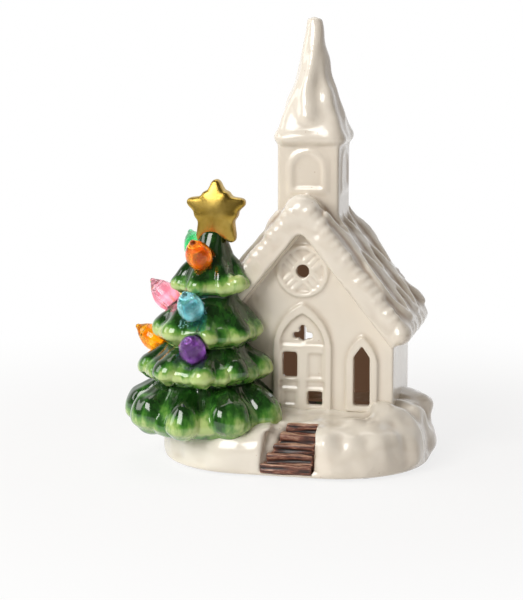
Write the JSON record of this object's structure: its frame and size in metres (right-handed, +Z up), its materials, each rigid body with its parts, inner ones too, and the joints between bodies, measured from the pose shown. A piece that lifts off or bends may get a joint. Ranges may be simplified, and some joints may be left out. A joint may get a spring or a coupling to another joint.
{
  "type": "lit ceramic village church",
  "caption": "Glazed ceramic village church with a steeple, snowy roof and base, plank steps and a green tree with plug-in bulbs and a gold star, lit from inside by a battery unit.",
  "frame": {"origin": "middle of the footprint of the bounding box, on the table under the pads", "axes": "+Z up, the church's front gable faces -Y, the tree stands at the front on the -X side"},
  "size_m": [0.135, 0.1058, 0.197],
  "materials": {
    "white_glaze": "glossy cream-white glaze, soft edges",
    "brown_glaze": "brushed dark brown glaze",
    "green_glaze": "glossy green glaze, pale along the rims",
    "gold_lustre": "satin gold lustre",
    "cream_plastic": "moulded, fine satin",
    "white_foam": "double-sided foam tape",
    "steel": "zinc-plated",
    "nickel_steel": "nickel-plated sheet",
    "black_plastic": "moulded",
    "green_board": "solder mask",
    "led_epoxy": "clear epoxy",
    "wire_jacket": "soft plastic sleeve",
    "felt": "felt",
    "cell_label": "plain printed sleeve",
    "orange_plastic": "clear tinted plastic",
    "green_plastic": "clear tinted plastic",
    "teal_plastic": "clear tinted plastic",
    "pink_plastic": "clear tinted plastic",
    "yellow_plastic": "clear tinted plastic",
    "purple_plastic": "clear tinted plastic",
    "amber_plastic": "clear tinted plastic",
    "red_plastic": "clear tinted plastic"
  },
  "bodies": {
    "church": {"church_walls": "white_glaze", "snowy_roof": "white_glaze", "steeple_tower": "white_glaze", "steeple_spire": "white_glaze", "snow_base": "white_glaze", "plank_steps": "brown_glaze", "tree": "green_glaze", "gold_star": "gold_lustre", "battery_tray": "cream_plastic", "foam_tape": "white_foam", "positive_contacts": "nickel_steel", "negative_contacts": "nickel_steel", "switch_body": "black_plastic", "circuit_board": "green_board", "timer_chip": "black_plastic", "church_led": "led_epoxy", "tree_led": "led_epoxy", "tree_led_socket": "cream_plastic", "tree_led_wires": "wire_jacket", "felt_pads": "felt", "battery_1": "cell_label", "battery_2": "cell_label", "battery_3": "cell_label"},
    "battery_door": {"battery_door": "cream_plastic", "door_screw": "steel"},
    "switch_knob": {"switch_knob": "black_plastic"},
    "bulb_orange": {"bulb_orange": "orange_plastic"},
    "bulb_green": {"bulb_green": "green_plastic"},
    "bulb_teal": {"bulb_teal": "teal_plastic"},
    "bulb_pink": {"bulb_pink": "pink_plastic"},
    "bulb_yellow": {"bulb_yellow": "yellow_plastic"},
    "bulb_purple": {"bulb_purple": "purple_plastic"},
    "bulb_amber": {"bulb_amber": "amber_plastic"},
    "bulb_red": {"bulb_red": "red_plastic"}
  },
  "joints": [
    {"name": "battery_door_hinge", "type": "hinge", "parent": "church", "child": "battery_door", "pos_m": [-0.0243, 0.00744, 0.00325], "axis": [0, 1, 0], "range_deg": [0, 95]},
    {"name": "switch_slide", "type": "slide", "parent": "church", "child": "switch_knob", "axis": [0, 1, 0], "range_m": [0, 0.0036]},
    {"name": "bulb_orange_pull", "type": "slide", "parent": "church", "child": "bulb_orange", "axis": [-0.1206, -0.6841, 0.7193], "range_m": [0, 0.009]},
    {"name": "bulb_green_pull", "type": "slide", "parent": "church", "child": "bulb_green", "axis": [-0.4738, 0.508, 0.7193], "range_m": [0, 0.009]},
    {"name": "bulb_teal_pull", "type": "slide", "parent": "church", "child": "bulb_teal", "axis": [-0.1087, -0.6861, 0.7193], "range_m": [0, 0.009]},
    {"name": "bulb_pink_pull", "type": "slide", "parent": "church", "child": "bulb_pink", "axis": [-0.6947, 0, 0.7193], "range_m": [0, 0.009]},
    {"name": "bulb_yellow_pull", "type": "slide", "parent": "church", "child": "bulb_yellow", "axis": [-0.4277, 0.5474, 0.7193], "range_m": [0, 0.009]},
    {"name": "bulb_purple_pull", "type": "slide", "parent": "church", "child": "bulb_purple", "axis": [-0.0275, -0.7875, 0.6157], "range_m": [0, 0.009]},
    {"name": "bulb_amber_pull", "type": "slide", "parent": "church", "child": "bulb_amber", "axis": [-0.8475, 0.0296, 0.5299], "range_m": [0, 0.009]},
    {"name": "bulb_red_pull", "type": "slide", "parent": "church", "child": "bulb_red", "axis": [-0.5413, 0.6012, 0.5878], "range_m": [0, 0.009]}
  ]
}
